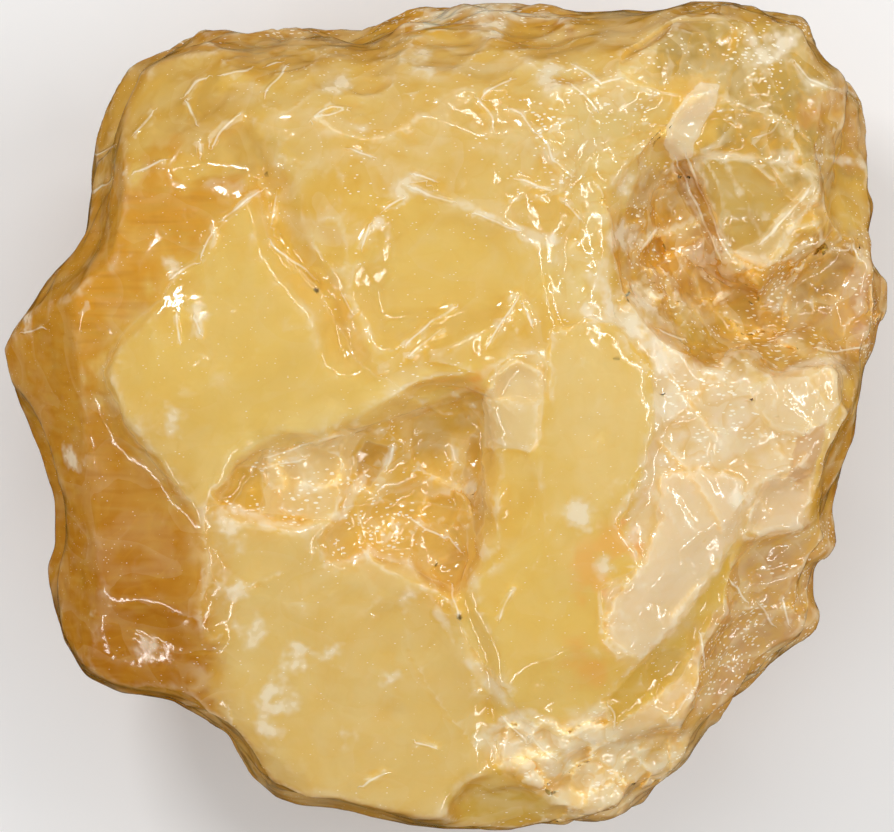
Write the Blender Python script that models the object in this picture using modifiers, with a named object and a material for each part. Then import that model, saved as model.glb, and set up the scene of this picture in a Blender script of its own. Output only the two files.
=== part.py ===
"""A hand-sized chunk of raw honey calcite, lying on its flat back.

Run it with: blender --background --python part.py

The stone is one solid. An ico sphere is drawn out to the outline that the stone shows from
above, trimmed by the large planes of its sides, and then broken: flat fracture faces, ledges
and hollows on the front, and shallow shell-shaped scars all round. +Z is up, +Y is the far
side, and the origin is on the ground under the middle of the stone. Lists of points are in
millimetres.
"""

import math

import bmesh
import bpy
import numpy as np

# Driving dimensions, in millimetres. The blank is drawn at about its real size, and the
# finished stone is scaled to the width. The crown and the keel are the blank's own, before
# planes trim the one and the ground cuts the other.
WIDTH = 100.0
RIM_HEIGHT = 24.0
CROWN_ABOVE_RIM = 37.0
KEEL_BELOW_RIM = 27.5
MILLIMETRE = 0.001

# The rim isn't level: it rises and dips by about this much round the stone
RIM_WAVE = 4.0

# Fineness of the shaping mesh, in millimetres, and of the finished solid
SPHERE_SUBDIVISIONS = 7
VOXEL = 0.5
FINISHED_TRIANGLES = 8800

# How square the blank is: 1 is an ellipsoid, and 0 a straight-sided block
PLAN_SQUARENESS = 0.55
HEIGHT_SQUARENESS = 0.78

HONEY = (0.72, 0.42, 0.10, 1.0)
ROUGHNESS = 0.22

# The rim seen from above, going from the left corner over the far side to the right and back
RIM = [
    (-50, 8), (-46.5, 12), (-44.5, 15.5), (-42, 18.5), (-41, 21), (-40.5, 29), (-39.5, 35.5),
    (-38, 38.5), (-36, 40.5), (-31.5, 42), (-29.5, 43), (-27.5, 43.5), (-25, 43.5), (-23, 43),
    (-21, 44), (-18.5, 45), (-12, 44.5), (-9.5, 44), (-5, 46.5), (0.5, 46.5), (11, 46),
    (15.5, 45.5), (22.5, 45.5), (27.5, 46.5), (34, 46), (40, 44.5), (42.5, 40.5), (46, 37.5),
    (47, 35.5), (47.5, 30), (48, 28), (47.5, 26), (48.5, 24.5), (47.5, 20), (47.5, 18),
    (49.5, 15.5), (50, 13), (48, 8), (47, 5), (46.5, -0.5), (45, -5.5), (43.5, -9.5),
    (43, -12), (43.5, -14.5), (43, -15.5), (41.5, -16.5), (41, -19.5), (42, -23), (41.5, -24),
    (37.5, -27.5), (33.5, -31.5), (30.5, -34), (29, -35.5), (26.5, -39.5), (23.5, -41.5),
    (19, -44.5), (14, -45.5), (7, -46.5), (-4, -46.5), (-6.5, -46), (-13, -44.5),
    (-16.5, -44.5), (-19.5, -43.5), (-22.5, -41), (-24.5, -37.5), (-25, -36), (-29.5, -33.5),
    (-32, -32), (-37.5, -31.5), (-39.5, -30.5), (-41.5, -29.5), (-43, -27), (-44.5, -24.5),
    (-45, -22), (-46, -17), (-45, -14.5), (-45, -9.5), (-46.5, -4.5), (-48, -0.5), (-49, 2),
]

# Large planes that trim the blank: a point on the plane, the bearing that it faces, counted
# from +X towards +Y, and how far it is tipped up from level. Negative tips face the ground.
TRIM_PLANES = [
    ((0, 20, 55.5), 80, 81),
    ((-20, 25, 53.0), 150, 71),
    ((-8, -18, 50.5), 258, 77),
    ((-19, -31, 45.5), 236, 58),
    ((24, 8, 50.0), 0, 75),
    ((30, -16, 46.5), 328, 56),
    ((16, -31, 46.0), 288, 60),
    ((35, 33, 46.5), 42, 57),
    ((0, 43.5, 48.0), 90, 27),
    ((-30, 36, 44.5), 125, 46),
    ((47, 10, 36.0), 4, 24),
    ((-31, 0, 0), 181, -41),
    ((33, 6, 0), 2, -33),
    ((4, 34, 0), 92, -29),
    ((-3, -31, 0), 268, -34),
    ((33, 31, 0), 47, -31),
    ((-27, 27, 0), 138, -43),
    ((-25, -21, 0), 222, -36),
    ((21, -19, 0), 316, -42),
]


def unit(vectors):
    """The same vectors, one unit long."""
    return vectors / np.maximum(np.linalg.norm(vectors, axis=-1, keepdims=True), 1e-9)


def bearing_vector(bearing, tip):
    """The direction of a bearing from +X towards +Y, tipped up from level, both in degrees."""
    b, t = math.radians(bearing), math.radians(tip)
    return np.array([math.cos(t) * math.cos(b), math.cos(t) * math.sin(b), math.sin(t)])


def waves(points, wavelength, seed):
    """A smooth random field, mostly within -1 to 1, from sine waves in random directions."""
    count = 12
    rng = np.random.RandomState(seed)
    total = np.zeros(len(points))
    for _ in range(count):
        turn = unit(rng.normal(size=3)) * 2 * math.pi / (wavelength * rng.uniform(0.7, 1.5))
        total += np.sin(points @ turn + rng.uniform(0, 2 * math.pi))
    return total * math.sqrt(1.2 / count)


def rim_reach(bearings):
    """How far the rim is from the middle at each bearing, in radians."""
    rim = np.array(RIM, float)
    angle = np.arctan2(rim[:, 1], rim[:, 0])
    order = np.argsort(angle)
    reach = np.linalg.norm(rim, axis=1)
    return np.interp(bearings, angle[order], reach[order], period=2 * math.pi)


def rim_height(bearings):
    """How high the rim is at each bearing, in radians."""
    return RIM_HEIGHT + RIM_WAVE * (np.sin(2 * bearings + 0.6) + np.sin(3 * bearings)) / 2


def inside_distance(points, outline):
    """How far each point is inside a closed outline seen from above, or below 0 outside it."""
    corners = np.array(outline, float)
    nearest = np.full(len(points), 1e9)
    inside = np.zeros(len(points), bool)
    x, y = points[:, 0], points[:, 1]
    for (ax, ay), (bx, by) in zip(corners, np.roll(corners, -1, axis=0)):
        along = ((x - ax) * (bx - ax) + (y - ay) * (by - ay)) / ((bx - ax) ** 2 + (by - ay) ** 2)
        along = np.clip(along, 0, 1)
        gap = np.hypot(x - ax - along * (bx - ax), y - ay - along * (by - ay))
        nearest = np.minimum(nearest, gap)
        if ay != by:
            crosses = (ay > y) != (by > y)
            inside ^= crosses & (x < (bx - ax) * (y - ay) / (by - ay) + ax)
    return np.where(inside, nearest, -nearest)


def path_distance(points, path):
    """How far each point is from an open path, seen from above."""
    nearest = np.full(len(points), 1e9)
    for a, b in zip(np.array(path[:-1], float), np.array(path[1:], float)):
        along = np.clip(((points[:, :2] - a) @ (b - a)) / ((b - a) @ (b - a)), 0, 1)
        gap = np.linalg.norm(points[:, :2] - a - along[:, None] * (b - a), axis=1)
        nearest = np.minimum(nearest, gap)
    return nearest


class Stone:
    """The points of the shaping mesh, in millimetres, and the ways to break them."""

    def __init__(self):
        mesh = bpy.data.meshes.new("sphere")
        sphere = bmesh.new()
        bmesh.ops.create_icosphere(sphere, subdivisions=SPHERE_SUBDIVISIONS, radius=1.0)
        sphere.to_mesh(mesh)
        sphere.free()
        self.take(mesh)

    def take(self, mesh):
        """Reads the points and triangles of a mesh."""
        mesh.calc_loop_triangles()
        flat = np.empty(len(mesh.vertices) * 3)
        mesh.vertices.foreach_get("co", flat)
        self.points = flat.reshape(-1, 3)
        flat = np.empty(len(mesh.loop_triangles) * 3, np.int32)
        mesh.loop_triangles.foreach_get("vertices", flat)
        self.faces = flat.reshape(-1, 3)
        bpy.data.meshes.remove(mesh)

    def through_modifier(self, kind, **settings):
        """The stone's mesh, in millimetres, after one modifier."""
        mesh = bpy.data.meshes.new("before")
        mesh.from_pydata(self.points, [], self.faces)
        holder = bpy.data.objects.new("holder", mesh)
        bpy.context.scene.collection.objects.link(holder)
        modifier = holder.modifiers.new("change", kind)
        for name, value in settings.items():
            setattr(modifier, name, value)
        graph = bpy.context.evaluated_depsgraph_get()
        changed = bpy.data.meshes.new_from_object(holder.evaluated_get(graph))
        bpy.data.objects.remove(holder)
        bpy.data.meshes.remove(mesh)
        return changed

    def sum_at_points(self, values):
        """At each point, the total of its triangles' values."""
        total = np.zeros((len(self.points), values.shape[1]))
        for corner in range(3):
            for column in range(values.shape[1]):
                total[:, column] += np.bincount(
                    self.faces[:, corner], weights=values[:, column], minlength=len(total)
                )
        return total

    def normals(self):
        """The outward direction at each point."""
        a, b, c = (self.points[self.faces[:, k]] for k in range(3))
        return unit(self.sum_at_points(np.cross(b - a, c - a)))

    def smooth(self, rounds):
        """Draws each point halfway to the mean of the triangles round it."""
        counts = self.sum_at_points(np.ones((len(self.faces), 1)))
        for _ in range(rounds):
            middles = self.points[self.faces].mean(axis=1)
            self.points += (self.sum_at_points(middles) / counts - self.points) / 2

    def off_rim(self):
        """0 along the rim, which keeps its outline, and 1 from a few millimetres off it."""
        x, y, z = self.points.T
        return np.clip(np.abs(z - rim_height(np.arctan2(y, x))) / 7, 0, 1)

    def draw_out(self):
        """Turns the unit sphere into the blank, with the rim's outline at its widest level."""
        x, y, z = self.points.T
        level = np.sqrt(np.maximum(1 - z**2, 0)) ** PLAN_SQUARENESS
        bearing = np.arctan2(y, x)
        reach = rim_reach(bearing) * level
        height = np.where(z > 0, CROWN_ABOVE_RIM, KEEL_BELOW_RIM)
        lift = (rim_height(bearing) - RIM_HEIGHT) * level
        up = RIM_HEIGHT + lift + np.sign(z) * np.abs(z) ** HEIGHT_SQUARENESS * height
        self.points = np.stack([reach * np.cos(bearing), reach * np.sin(bearing), up], axis=1)

    def trim(self, point, bearing, tip):
        """Cuts off all that stands past a plane."""
        facing = bearing_vector(bearing, tip)
        past = np.maximum((self.points - point) @ facing, 0)
        self.points -= past[:, None] * facing

    def random_scars(self, count, radii, depths, on_front, seed):
        """Shell-shaped scars at random places: what a ball holds there is broken off.

        Their depth is multiplied by on_front above the rim, where the stone has its own faces.
        """
        rng = np.random.RandomState(seed)
        facing = self.normals()
        held = self.off_rim()
        for index in rng.choice(len(self.points), count, replace=False):
            radius, depth = rng.uniform(*radii), rng.uniform(*depths)
            if self.points[index, 2] > RIM_HEIGHT + 6:
                depth *= on_front
            centre = self.points[index] + facing[index] * (radius - depth)
            away = self.points - centre
            far = np.linalg.norm(away, axis=1)
            hit = (far < radius) & (away @ facing[index] < 0)
            push = held[hit] * np.minimum(radius - far[hit], 1.3 * depth) / far[hit]
            self.points[hit] += away[hit] * push[:, None]

    def face(self, outline, through, towards=0, fall=0, wall=3.0, rise=0.0, ragged=0.4, seed=0):
        """A flat fracture face on the front, inside an outline seen from above.

        through is a point of its plane, which falls that many degrees towards a bearing. What
        stands over the plane goes, and what lies under it by less than rise comes up to it. wall
        is the slope of the step round it.
        """
        plan = self.points.copy()
        plan[:, 0] += ragged * waves(self.points, 7.0, seed + 1)
        plan[:, 1] += ragged * waves(self.points, 7.0, seed + 2)
        inside = inside_distance(plan, outline)
        x, y, z = self.points.T
        b = math.radians(towards)
        run = (x - through[0]) * math.cos(b) + (y - through[1]) * math.sin(b)
        change = through[2] - math.tan(math.radians(fall)) * run - z
        change = np.where(change > rise, np.maximum(2 * rise - change, 0), change)
        hit = (inside > 0) & (z > rim_height(np.arctan2(y, x)))
        limit = wall * inside[hit]
        self.points[hit, 2] += np.clip(change[hit], -limit, limit)

    def groove(self, path, width, depth):
        """A V-shaped gully along a path on the front."""
        near = np.maximum(1 - path_distance(self.points, path) / width, 0)
        self.points[:, 2] -= np.where(self.points[:, 2] > RIM_HEIGHT, near * depth, 0)

    def terraces(self, outline, height, seed):
        """Breaks a slope of the front into level ledges, that height apart."""
        fade = np.clip(inside_distance(self.points, outline) / 1.5, 0, 1)
        z = self.points[:, 2]
        steps = (z + 0.5 * height * waves(self.points, 11.0, seed)) / height
        part_way = steps - np.floor(steps)
        stepped = np.floor(steps) + np.clip((part_way - 0.65) / 0.35, 0, 1)
        hit = z > RIM_HEIGHT
        self.points[hit, 2] += ((stepped - steps) * height * fade)[hit]

    def roughen(self, wavelength, amount, seed):
        """Gentle swells along the outward direction."""
        swell = amount * waves(self.points, wavelength, seed) * self.off_rim()
        self.points += self.normals() * swell[:, None]


def clear_scene():
    for old in list(bpy.data.objects):
        bpy.data.objects.remove(old)


def break_large_faces(stone):
    """The big steps of the front that give the stone its look from across a table."""
    # The amber side on the left, which rolls over from the edge of the left lobe to the rim
    left_side = [
        (-21, 25), (-24.5, 22), (-27, 18.5), (-29.5, 16.5), (-32, 13), (-36.5, 9), (-38.5, 5),
        (-35.5, -1.5), (-32, -6), (-28, -10), (-27, -25.5), (-31, -34.5), (-46, -39),
        (-53, -9.5), (-53, 15.5), (-43.5, 24.5), (-32, 28.5), (-29, 27),
    ]
    stone.face(left_side, through=(-33, 2, 49.6), towards=200, fall=21, wall=3.5, seed=10)
    stone.face(left_side, through=(-42, 0, 44.5), towards=188, fall=62, wall=3.5, seed=10)
    # The lower front block, which leans down to the near edge
    stone.face(
        [(-27, -11), (-23.5, -11.5), (-16.5, -13), (-12.5, -11), (-13.5, -17), (-9, -15.5),
         (-4.5, -16.5), (-2, -18.5), (1, -23), (2.5, -26.5), (4, -32), (4.5, -39), (0, -50),
         (-20, -50), (-29, -38), (-27, -25.5)],
        through=(-10, -24, 46.5), towards=262, fall=17, wall=1.5, seed=20,
    )
    # The broken pocket between the lobe and the block
    stone.face(
        [(-23.5, -5.5), (-20.5, -4), (-15.5, -3), (-10.5, -1.5), (-5, 0), (-2, 1), (0.5, 3.5),
         (2.5, 2.5), (4, 1), (4, -12.5), (3, -16.5), (1, -20), (-2, -18.5), (-4.5, -16.5),
         (-9, -15.5), (-13.5, -17), (-14.5, -14.5), (-12.5, -11), (-16.5, -13),
         (-23.5, -11.5), (-26.5, -9.5)],
        through=(-8, -8, 48.0), towards=285, fall=14, wall=3.0, seed=30,
    )
    # The tall yellow slab right of the pocket
    stone.face(
        [(4, 2), (4, -13), (3, -16.5), (0.5, -21), (2.5, -25.5), (6, -30), (8.5, -34),
         (13, -36), (17.5, -33.5), (22, -27.5), (17.5, -23.5), (17.5, -19.5), (22, -16.5),
         (19.5, -12), (22, -6), (23.5, -0.5), (23, 5), (20, 9.5), (16.5, 11), (11.5, 9.5),
         (11, 2)],
        through=(12, -6, 51.5), towards=285, fall=10, wall=2.4, seed=40,
    )
    # The deep glassy hollow on the right
    stone.face(
        [(22, 27), (25, 29), (27.5, 28), (30, 22.5), (32, 18.5), (36, 16.5), (40, 20),
         (44.5, 21), (53, 21), (54, 4), (47, 6), (42.5, 7), (37, 5), (31.5, 4.5),
         (28.5, 5), (26, 8), (23.5, 11), (22, 13), (19.5, 14), (19, 19), (20, 23.5)],
        through=(28, 14, 41.0), towards=335, fall=13, wall=1.7, seed=50,
    )


def break_small_faces(stone):
    """The flakes, plates and steps that stand on the large faces or are cut into them."""
    # The clear rhomb beside the hollow, cut lower than the block behind it
    stone.face(
        [(27.5, 28.5), (32.5, 29), (39, 26), (41.5, 25.5), (40, 22.5), (37, 17.5), (36, 16.5),
         (32, 18.5), (30, 22.5)],
        through=(34, 23, 45.0), towards=300, fall=9, wall=3.5, rise=3, ragged=0.15, seed=60,
    )
    # The long pale flake at the head of the hollow
    stone.face(
        [(28.5, 37.5), (30.5, 37), (30, 34.5), (28.5, 32), (27.5, 29), (25.5, 28.5), (24.5, 30),
         (25, 33), (26.5, 35.5)],
        through=(27.5, 33, 52.3), towards=20, fall=14, wall=3.0, rise=3, ragged=0.2, seed=70,
    )
    # The pink and cream block on the right
    stone.face(
        [(23.5, 9.5), (26, 8), (28.5, 5), (34, 3.5), (37, 5), (44, 6.5), (45, 2), (42, -1.5),
         (41.5, -7), (40, -13), (36.5, -13.5), (33.5, -13), (32.5, -14.5), (29, -19.5),
         (25.5, -24), (22.5, -27), (19, -28), (17.5, -25.5), (17.5, -20), (22, -16.5),
         (19.5, -12), (22, -6), (23.5, -0.5)],
        through=(29, -5, 48.5), towards=335, fall=13, wall=2.2, ragged=0.3, seed=80,
    )
    # The lens-shaped cream flake along the block's sharp edge
    stone.face(
        [(24, -6.5), (28.5, -6), (33.5, -7), (32.5, -14), (29, -19.5), (25.5, -24),
         (22.5, -27), (19, -27.5), (17.5, -25.5), (18.5, -21), (22, -16.5), (23.5, -12)],
        through=(25, -16, 49.0), towards=280, fall=9, wall=2.5, ragged=0.15, seed=90,
    )
    # The short column below the block's corner
    stone.face(
        [(35.5, -7), (39, -6.5), (41.5, -6), (40, -13), (36.5, -13.5), (33.5, -13)],
        through=(37.5, -10, 43.5), towards=340, fall=18, wall=2.5, ragged=0.1, seed=100,
    )
    # The pale plate at the block's upper corner
    stone.face(
        [(34, 3.5), (37, 4.5), (43, 6), (44.5, 4.5), (44.5, 2), (43, -1), (40, -2.5),
         (36.5, -1.5), (34.5, 0.5)],
        through=(40, 1.5, 47.6), towards=10, fall=16, wall=2.5, ragged=0.15, seed=110,
    )
    # The scooped face at the lower right
    stone.face(
        [(33.5, -13.5), (40, -13), (47, -9.5), (48, -26), (31, -38), (27.5, -32),
         (28.5, -25.5), (31, -21)],
        through=(34, -20, 39.5), towards=318, fall=40, wall=2.2, ragged=0.3, seed=120,
    )
    # The long ochre face under the cream flake
    stone.face(
        [(32.5, -14.5), (29, -19.5), (25.5, -24), (22, -27), (17.5, -32), (19, -35),
         (23, -32), (26.5, -29), (28.5, -25.5), (31, -21)],
        through=(25.5, -27, 44.0), towards=318, fall=42, wall=3.0, ragged=0.15, seed=130,
    )
    # The small cream flake at the top of the slab
    stone.face(
        [(4, 1), (5, 4.5), (7.5, 6.5), (10.5, 5), (11, 2), (10.5, -2.5), (9.5, -4), (4.5, -3.5)],
        through=(7.5, 1, 52.6), towards=200, fall=8, wall=2.5, ragged=0.15, seed=140,
    )
    # The striped flake that half covers the pocket
    stone.face(
        [(-20.5, -4.5), (-16.5, -3.5), (-11.5, -1.5), (-9, -2), (-10.5, -4), (-11, -8.5),
         (-12, -10), (-11.5, -12), (-16.5, -11), (-21, -11), (-20, -7)],
        through=(-15, -7, 49.4), towards=250, fall=8, wall=3.0, rise=3, ragged=0.2, seed=150,
    )
    # The broad dish in the middle of the front
    stone.face(
        [(-5, 25.5), (-6.5, 22), (-8.5, 17.5), (-11, 16), (-11, 9.5), (-7.5, 7.5), (-0.5, 8),
         (6, 11), (11, 14), (12, 19.5), (6, 21.5), (0.5, 24)],
        through=(0, 15, 53.6), towards=270, fall=5, wall=0.8, ragged=0.3, seed=160,
    )
    # Three shallow faces along the far side of the front
    stone.face(
        [(-5, 40), (13, 41), (17.5, 37), (8.5, 32.5), (-0.5, 33), (-5, 34.5)],
        through=(4, 37, 51.6), towards=95, fall=15, wall=0.8, ragged=0.4, seed=170,
    )
    stone.face(
        [(6, 33.5), (17.5, 35.5), (23, 32.5), (22, 26.5), (16.5, 21), (12, 20.5), (8.5, 25.5)],
        through=(15, 28, 52.8), towards=40, fall=9, wall=0.8, ragged=0.4, seed=180,
    )
    stone.face(
        [(-29, 27), (-22, 25.5), (-20, 25), (-19.5, 30), (-23.5, 34.5), (-32, 28.5)],
        through=(-24, 29, 50.3), towards=160, fall=17, wall=1.0, ragged=0.3, seed=190,
    )
    # Chips broken from the near edge: three in the crumbled corner, and an ochre one beside it
    stone.face(
        [(4, -36), (8.5, -32.5), (11.5, -35.5), (10, -41), (6, -39)],
        through=(8, -37, 43.0), towards=240, fall=22, wall=3.0, seed=200,
    )
    stone.face(
        [(10, -41), (11.5, -35.5), (13, -35), (17.5, -32.5), (18, -38), (14, -45)],
        through=(14, -38, 41.5), towards=295, fall=33, wall=3.0, seed=210,
    )
    stone.face(
        [(17.5, -38), (19.5, -35), (27.5, -35), (30, -40), (22, -47), (15, -47)],
        through=(21, -40, 37.5), towards=318, fall=44, wall=3.0, seed=220,
    )
    stone.face(
        [(-0.5, -43.5), (2.5, -40.5), (6.5, -39.5), (10.5, -42.5), (14, -45), (13, -50),
         (-0.5, -50)],
        through=(5, -43, 38.0), towards=275, fall=48, wall=2.5, ragged=0.2, seed=230,
    )


def break_stone():
    """The whole stone, in millimetres, from the blank to its last small scars."""
    stone = Stone()
    stone.draw_out()
    for point, bearing, tip in TRIM_PLANES:
        stone.trim(point, bearing, tip)
    stone.roughen(wavelength=38.0, amount=0.7, seed=1)
    stone.random_scars(70, radii=(18, 48), depths=(0.7, 1.9), on_front=0.3, seed=12)
    break_large_faces(stone)
    stone.take(stone.through_modifier("REMESH", mode="VOXEL", voxel_size=VOXEL))
    stone.random_scars(150, radii=(9, 32), depths=(0.5, 1.5), on_front=0.15, seed=13)
    break_small_faces(stone)
    # The gully between the two lobes, and the channel left of the slab
    stone.groove([(-20, 25.5), (-19, 20), (-16, 16), (-13, 12.5), (-11.5, 7.5)], 3.0, 3.0)
    stone.groove([(1, -20), (2, -23), (4, -27.5), (4.5, -32), (5, -39)], 1.8, 2.0)
    # Cleavage ledges, down into the hollow and along the far wall
    stone.terraces([(18, 26), (24, 30), (29, 28), (33, 17), (30, 8), (18, 10)], 2.0, seed=4)
    stone.terraces([(-34, 38), (-12, 40.5), (18, 41), (18, 50), (-34, 50)], 2.4, seed=5)
    stone.random_scars(260, radii=(3.5, 14), depths=(0.2, 0.6), on_front=0.6, seed=7)
    stone.smooth(1)
    return stone


def cut_at_ground(body):
    """Takes off what is under the ground and closes the cut with one flat face."""
    everything = [*body.verts, *body.edges, *body.faces]
    bmesh.ops.bisect_plane(
        body, geom=everything, plane_co=(0, 0, 0), plane_no=(0, 0, -1), clear_outer=True
    )
    cut_edges = [edge for edge in body.edges if edge.is_boundary]
    bmesh.ops.contextual_create(body, geom=cut_edges)
    bmesh.ops.triangulate(body, faces=body.faces)
    bmesh.ops.recalc_face_normals(body, faces=body.faces)


def centre_and_scale(body):
    """Puts the origin under the middle of the stone and brings the stone to its width."""
    corners = np.array([vertex.co for vertex in body.verts])
    low, high = corners.min(axis=0), corners.max(axis=0)
    middle = (low + high) / 2
    size = WIDTH * MILLIMETRE / (high[0] - low[0])
    bmesh.ops.translate(body, vec=(-middle[0], -middle[1], 0), verts=body.verts)
    bmesh.ops.scale(body, vec=(size, size, size), verts=body.verts)


def calcite_material():
    material = bpy.data.materials.new("honey_calcite")
    material.use_nodes = True
    shader = material.node_tree.nodes["Principled BSDF"]
    shader.inputs["Base Color"].default_value = HONEY
    shader.inputs["Roughness"].default_value = ROUGHNESS
    return material


def build():
    clear_scene()
    stone = break_stone()
    mesh = stone.through_modifier("DECIMATE", ratio=FINISHED_TRIANGLES / len(stone.faces))
    mesh.name = "calcite_stone"
    body = bmesh.new()
    body.from_mesh(mesh)
    cut_at_ground(body)
    centre_and_scale(body)
    body.to_mesh(mesh)
    body.free()
    mesh.materials.append(calcite_material())
    finished = bpy.data.objects.new("calcite_stone", mesh)
    collection = bpy.data.collections.new("raw_calcite")
    bpy.context.scene.collection.children.link(collection)
    collection.objects.link(finished)


build()
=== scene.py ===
"""The looks of a hand-sized chunk of raw honey calcite, lying on its flat back.

The solid of the stone is remeshed finely, melted a little and broken again in small: shell-shaped
scars, tilted chips, cleavage steps, flat facets, crisp flakes, and thin ridges that catch the
light. Its colours are zones of honey, amber, cream and pink, each inside an outline seen from
above, with milky wisps, white bruises and fine layering over them. Points and sizes are in
millimetres unless a comment says otherwise, +X to the right and +Y to the far side.
"""

import math

import bpy
import numpy as np
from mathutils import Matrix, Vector


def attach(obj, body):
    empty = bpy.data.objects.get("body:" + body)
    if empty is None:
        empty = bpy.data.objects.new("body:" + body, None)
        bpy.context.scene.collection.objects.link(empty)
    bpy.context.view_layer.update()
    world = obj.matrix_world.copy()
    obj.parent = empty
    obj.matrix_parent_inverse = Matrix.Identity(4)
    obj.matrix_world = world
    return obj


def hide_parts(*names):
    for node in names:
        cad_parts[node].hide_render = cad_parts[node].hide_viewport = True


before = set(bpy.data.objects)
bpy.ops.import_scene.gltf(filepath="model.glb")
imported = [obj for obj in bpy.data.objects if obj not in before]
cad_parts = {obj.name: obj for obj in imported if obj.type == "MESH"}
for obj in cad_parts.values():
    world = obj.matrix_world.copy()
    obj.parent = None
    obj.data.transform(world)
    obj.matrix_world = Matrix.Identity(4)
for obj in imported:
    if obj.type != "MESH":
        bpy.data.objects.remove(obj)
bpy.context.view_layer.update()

MILLIMETRE = 0.001

# The photograph: its width in pixels, the size of a pixel on the stone, the place under its
# middle, and a long lens with its sensor
PHOTO_WIDTH = 894
PIXEL = 0.113
PHOTO_MIDDLE = (0.1, 0.0)
LENS = 600.0
SENSOR_WIDTH = 36.0

# About how high the rim of the front is, the front's middle, and the lowest chips of the front
RIM_HEIGHT = 24.0
FRONT_HEIGHT = 1.3 * RIM_HEIGHT
LOWEST_CHIP = RIM_HEIGHT - 8

# The strip lights round the stone: the bearing and height of each in degrees, its length in
# metres, and the share of full white that it gives
STRIP_LIGHTS = {
    "key": (128, 48, 0.25, 0.30),
    "right_strip": (15, 50, 0.45, 0.16),
    "far_strip": (70, 46, 0.45, 0.14),
    "near_strip": (305, 38, 0.45, 0.13),
    "left_strip": (215, 26, 0.45, 0.13),
    "low_right": (345, 22, 0.3, 0.09),
}

# How bright the pale surround is
SURROUND = 0.455

# In metres: how far the strips are from the stone and how thick they are, how wide the floor is,
# and how far the camera sees
LIGHT_DISTANCE = 0.9
STRIP_THICKNESS = 0.035
FLOOR_WIDTH = 12.0
FAR_CLIP = 100.0

# Fineness of the visible mesh, and the most triangles that it may have
VOXEL = 0.45
MOST_TRIANGLES = 190000

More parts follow.
